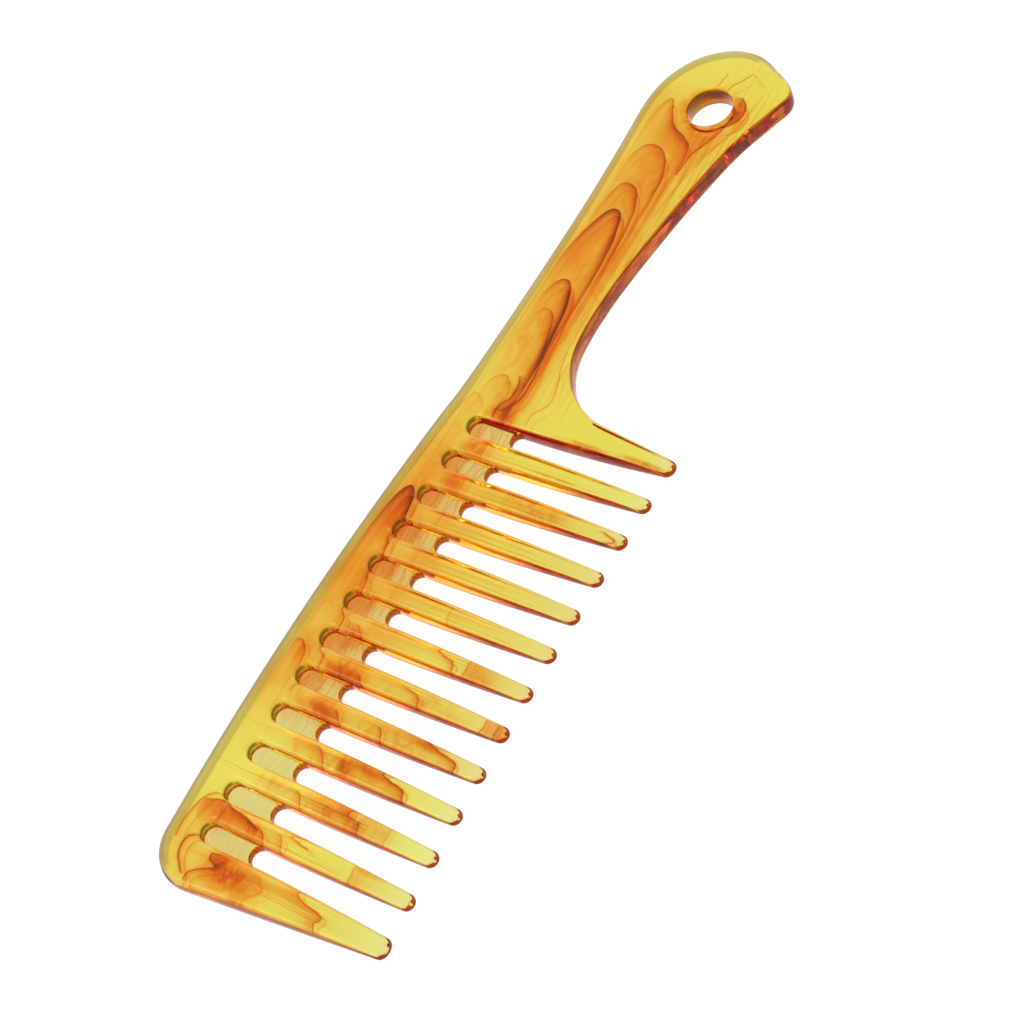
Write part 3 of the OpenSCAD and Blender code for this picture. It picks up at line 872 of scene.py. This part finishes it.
def dye_group(n, name, u, v, draw, features):
    """A node group that adds up one kind of dye feature."""
    tree = bpy.data.node_groups.new(name, "ShaderNodeTree")
    for socket in ("u", "v"):
        tree.interface.new_socket(socket, in_out="INPUT", socket_type="NodeSocketFloat")
    tree.interface.new_socket("dye", in_out="OUTPUT", socket_type="NodeSocketFloat")
    inner = Nodes(tree)
    place = inner.add("NodeGroupInput")
    total = 0.0
    for feature in features:
        dye = draw(inner, place.outputs["u"], place.outputs["v"], feature)
        total = inner.math("ADD", dye, total)
    inner.feed(inner.add("NodeGroupOutput").inputs["dye"], total)
    node = n.add("ShaderNodeGroup", node_tree=tree)
    n.feed(node.inputs["u"], u)
    n.feed(node.inputs["v"], v)
    return node.outputs["dye"]


def cloud_grain(n, u, v):
    """Uneven strength of the soft clouds, in streaks that run along the comb."""
    spot = n.add("ShaderNodeCombineXYZ")
    n.feed(spot.inputs[0], n.math("MULTIPLY", u, 1.6))
    n.feed(spot.inputs[1], n.math("MULTIPLY", v, 2.6))
    return n.ramp(n.noise(spot.outputs[0], 1.0, 4.0, 1.5), 0.36, 0.64, 0.55, 1.45, soft=True)


def dye_amount(n, u, v):
    half = len(LINES) // 2           # a group of half the lines builds in a quarter of the time
    fronts = dye_group(n, "swirl_fronts", u, v, front_dye, FRONTS)
    lines = dye_group(n, "swirl_lines_1", u, v, line_dye, LINES[:half])
    more_lines = dye_group(n, "swirl_lines_2", u, v, line_dye, LINES[half:])
    clouds = dye_group(n, "soft_clouds", u, v, cloud_dye, CLOUDS)
    swirls = n.math("ADD", n.math("ADD", fronts, lines), more_lines)
    return n.math("MULTIPLY_ADD", clouds, cloud_grain(n, u, v), swirls)


# From here the tint also carries painted shade: on the rounded back, the webs, the roundings and
# the walls.
# Where masks for ever gentler parts of a rounding start and are full, by how far up
# the skin faces there: 0 on a wall and 1 on a face
WALL, STEEP, BENT, EDGE = (0.5, 0.2), (0.9, 0.6), (0.95, 0.86), (0.99, 0.93)


def steepness(n):
    """Masks for a wall and for ever gentler parts of a rounding."""
    normal = n.add("ShaderNodeSeparateXYZ")
    n.feed(normal.inputs[0], n.add("ShaderNodeNewGeometry").outputs["Normal"])
    up = n.math("ABSOLUTE", normal.outputs[2])
    return [n.ramp(up, start, full, soft=True) for start, full in (WALL, STEEP, BENT, EDGE)]


def inner_wall_dye_and_painted_shade(n, place, u, v, wall):
    """The long curved wall under the handle, where the dye is seen edge on: blotches of dye and
    painted shade.
    """
    along = n.math("MULTIPLY", n.ramp(u, 5.7, 6.0), n.ramp(v, 4.75, 4.5))
    under = n.math("MULTIPLY", along, n.ramp(v, 2.6, 3.0))
    blots = n.ramp(n.noise(place, 1.5, 3.0), 0.42, 0.62, 0.12, 1.5, soft=True)
    return n.math("MULTIPLY", n.math("MULTIPLY", under, wall), blots)


def tinted(n, colour, tint, amount):
    """colour multiplied by tint where amount is 1."""
    mix_node = n.add("ShaderNodeMix", data_type="RGBA", blend_type="MULTIPLY")
    n.feed(mix_node.inputs["Factor"], amount)
    sockets = [i for i in mix_node.inputs if i.type == "RGBA"]
    n.feed(sockets[0], colour)
    n.feed(sockets[1], (*tint, 1))
    return [o for o in mix_node.outputs if o.type == "RGBA"][0]


# Amber warmth of the whole moulding along the comb: u, dye
WARMTH = [(-7, 0.2), (-6, 0.2), (-5, 0.1), (-4, 0.03), (-2, 0.25), (0, 0.35), (2, 0.4),
          (4, 0.35), (6, 0.14), (8, 0.14), (10, 0.24), (12, 0.28), (14, 0.26), (15.3, 0.28),
          (16.2, 0.1), (17.6, 0.0)]


def warm_dye(n, place, u, v):
    first, last = WARMTH[0][0], WARMTH[-1][0]
    along = n.curve(n.ramp(u, first, last), [((a - first) / (last - first), d) for a, d in WARMTH])
    height = n.ramp(v, 3.0, 4.4, 0.3, 1.0)
    drift = n.ramp(n.noise(place, 0.9, 2.0), 0.3, 0.7, 0.6, 1.3)
    return n.math("MULTIPLY", n.math("MULTIPLY", along, height), drift)


def flow_streaks(n, u, v):
    """Fine streaks that run along the handle."""
    across = n.math("MULTIPLY_ADD", u, -0.03, v)
    spot = n.add("ShaderNodeCombineXYZ")
    n.feed(spot.inputs[0], n.math("MULTIPLY", u, 0.25))
    n.feed(spot.inputs[1], n.math("MULTIPLY", across, 9.0))
    fine = n.ramp(n.noise(spot.outputs[0], 1.0, 3.0), 0.5, 0.72, 0.0, 0.5, soft=True)
    low = n.math("MULTIPLY", n.ramp(v, 4.6, 4.3, 0.1, 1.0), n.ramp(u, 5.8, 9.0))
    return n.math("MULTIPLY", fine, n.math("MULTIPLY", low, n.ramp(u, 16.5, 14.5, 0.3, 1.0)))


WHOLE_PITCHES = 20.0                 # added to u before its fraction is taken
SEAMS = [(0.36, 0.02, 0.5), (0.47, 0.014, 0.35), (0.62, 0.02, 0.35)]    # place, width, dye


def tooth_seams(n, u, v):
    """Faint lines down each tooth, each at its own share of the way across a pitch."""
    fraction = n.math("FRACT", n.math("ADD", u, WHOLE_PITCHES + 0.5))
    wander = n.ramp(n.math("SINE", n.math("MULTIPLY", u, 7.0)), -1, 1, 0.0, 1.0)
    total = 0.0
    for place, width, strength in SEAMS:
        off = n.math("ABSOLUTE", n.math("SUBTRACT", fraction, place))
        total = n.math("ADD", n.ramp(off, width * 0.3, width, strength, 0), total)
    span = n.math("MULTIPLY", n.ramp(v, 1.0, 2.2), n.ramp(v, 4.6, 3.4))
    shown = n.math("MULTIPLY", span, n.ramp(u, 5.6, 5.4))
    return n.math("MULTIPLY", n.math("MULTIPLY", total, shown), wander)


def painted_back_shade_mask(n, u, v, bent, edge):
    """Painted shade on the rounded back, wide along the spine and narrow round the handle."""
    height = n.math("ADD", v, n.ramp(u, 6.0, 6.5, 0.0, 0.85))
    height = n.math("ADD", height, n.ramp(u, 15.2, 17.0, 0.0, 2.2))
    off_u, off_v = n.math("SUBTRACT", u, HOLE_UV[0]), n.math("SUBTRACT", v, HOLE_UV[1])
    square = n.math("MULTIPLY_ADD", off_u, off_u, n.math("MULTIPLY", off_v, off_v))
    place = n.math("MULTIPLY", n.ramp(height, 5.65, 5.85), n.ramp(square, 0.5, 0.65))
    on_spine = n.math("MULTIPLY", edge, n.ramp(u, 9.0, 6.5))
    return n.math("MULTIPLY", n.math("MAXIMUM", bent, on_spine), place)


def web_floor(n, u, v, w):
    """The recessed webs, mid-way between teeth and low across the slots: where their painted shade
    and their stripes of dye go.
    """
    fraction = n.math("FRACT", n.math("ADD", u, WHOLE_PITCHES))
    off = n.math("ABSOLUTE", n.math("SUBTRACT", fraction, 0.5))
    between = n.math("MULTIPLY", n.ramp(off, 0.3, 0.24), n.ramp(n.math("ABSOLUTE", w), 0.62, 0.5))
    span = n.math("MULTIPLY", n.ramp(v, 3.9, 4.1), n.ramp(v, 5.9, 5.7))
    return n.math("MULTIPLY", between, n.math("MULTIPLY", span, n.ramp(u, 6.2, 6.0)))


ABSORPTION = (4, 32, 390)            # of red, green and blue light, per metre
FRONT_SHARE, BACK_SHARE = 1.0, 0.3   # how much of the dye each face carries
SHADE_SHARE = 0.6                    # dye that the painted shade on the back and on the webs replaces
IOR, ROUGHNESS = 1.52, 0.04
SHINE = (0.6, 0.45, 0.3)             # tint of the reflections seen head on


def web_stripes(n, place, u, v):
    """Wavy stripes across the webs, weaker towards the free end."""
    wave = n.math("MULTIPLY_ADD", n.noise(place, 2.0), 9.0, n.math("MULTIPLY", v, 21.0))
    stripes = n.ramp(n.math("SINE", wave), 0.8, 0.97)
    return n.math("MULTIPLY", stripes, n.ramp(u, -4.0, 2.0, 0.08, 0.35))


def dye_with_painted_edge_shade(n, u, v, dye, wall, steep, painted_back_shade):
    """dye, plus painted shade on the roundings, most at the tips, and on the walls of the slots.
    """
    # painted shade on the roundings, where light runs a long way through the edge
    rim = n.math("MULTIPLY", steep, n.math("SUBTRACT", 1.0, painted_back_shade))
    rim = n.math("MULTIPLY", rim, n.ramp(v, 4.85, 5.0, 1.0, 0.1))
    dye = n.math("MULTIPLY_ADD", rim, n.ramp(v, 0.0, 0.35, 0.9, 0.45), dye)
    side = n.math("MULTIPLY", n.ramp(v, 4.4, 4.0), n.ramp(u, 5.7, 6.1, 0.7, 0.3))
    return n.math("MULTIPLY_ADD", wall, side, dye)


def web_dye(n, place, u, v, dye, web):
    top = n.math("MULTIPLY", web, n.ramp(v, 4.75, 4.95, 0.0, 0.3))
    dye = n.math("MULTIPLY_ADD", top, n.ramp(u, -2.6, -1.8), dye)
    return n.math("MULTIPLY_ADD", web_stripes(n, place, u, v), web, dye)


def dye_colour(n, dye):
    tint = n.add("ShaderNodeValToRGB")
    stops = tint.color_ramp.elements
    for k, (amount, colour) in enumerate(DYE_TINTS):
        stop = stops[k] if k < len(stops) else stops.new(amount / MOST_DYE)
        stop.position = amount / MOST_DYE
        stop.color = (*colour, 1)
    n.feed(tint.inputs["Fac"], n.math("MULTIPLY", dye, 1 / MOST_DYE))
    return tint.outputs["Color"]


def skin_colour(n):
    """The whole skin's tint: dye, painted shade on the back, the webs, the roundings and the
    walls, and a yellower tint towards the tips.
    """
    place, u, v, w = comb_coordinates(n)
    depth = n.ramp(w, -0.6, 0.3, BACK_SHARE, FRONT_SHARE, soft=True)
    dye = n.math("MULTIPLY", dye_amount(n, u, v), depth)
    wall, steep, bent, edge = steepness(n)
    # blotches of dye and painted shade on the wall under the handle
    dye = n.math("ADD", dye, inner_wall_dye_and_painted_shade(n, place, u, v, wall))
    dye = n.math("ADD", dye, warm_dye(n, place, u, v))
    dye = n.math("ADD", dye, flow_streaks(n, u, v))
    dye = n.math("ADD", dye, tooth_seams(n, u, v))
    painted_back_shade = painted_back_shade_mask(n, u, v, bent, edge)
    web = web_floor(n, u, v, w)
    # less dye where shade is painted on the back and on the webs
    shaded = n.math("MAXIMUM", n.math("MULTIPLY", painted_back_shade, SHADE_SHARE),
                    n.math("MULTIPLY", web, SHADE_SHARE))
    dye = n.math("MULTIPLY", dye, n.math("SUBTRACT", 1.0, shaded))
    # painted shade on the roundings and on the walls of the slots
    dye = dye_with_painted_edge_shade(n, u, v, dye, wall, steep, painted_back_shade)
    colour = dye_colour(n, web_dye(n, place, u, v, dye, web))
    colour = tinted(n, colour, SKIN, 1.0)
    # painted shade: the rounded back darker and olive
    colour = tinted(n, colour, PAINTED_BACK_SHADE, painted_back_shade)
    # painted shade: the recessed webs darker
    colour = tinted(n, colour, PAINTED_WEB_SHADE, web)
    return tinted(n, colour, TOOTH_SHADE, n.ramp(v, 4.1, 1.0))


def amber_plastic():
    material = bpy.data.materials.new("marbled_amber")
    material.use_nodes = True
    tree = material.node_tree
    tree.nodes.clear()
    n = Nodes(tree)
    colour = skin_colour(n)
    shader = n.add("ShaderNodeBsdfPrincipled")
    n.feed(shader.inputs["Base Color"], colour)
    shader.inputs["Transmission Weight"].default_value = 1.0
    shader.inputs["IOR"].default_value = IOR
    shader.inputs["Roughness"].default_value = ROUGHNESS
    shader.inputs["Specular Tint"].default_value = (*SHINE, 1)
    absorb = n.add("ShaderNodeVolumeAbsorption")
    density = max(ABSORPTION) * 1.05
    absorb.inputs["Color"].default_value = (*[1 - a / density for a in ABSORPTION], 1)
    absorb.inputs["Density"].default_value = density
    output = n.add("ShaderNodeOutputMaterial")
    n.feed(output.inputs["Surface"], shader.outputs[0])
    n.feed(output.inputs["Volume"], absorb.outputs[0])
    return material


# ---------------------------------------------------------------------------
# The scene
# ---------------------------------------------------------------------------

scene = bpy.context.scene
scene.view_settings.view_transform = "Standard"
add_camera()
add_floor()
add_lights()

comb = comb_moulding()
comb.data.materials.clear()
comb.data.materials.append(amber_plastic())
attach(comb, "root")
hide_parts(*frame["nodes"])
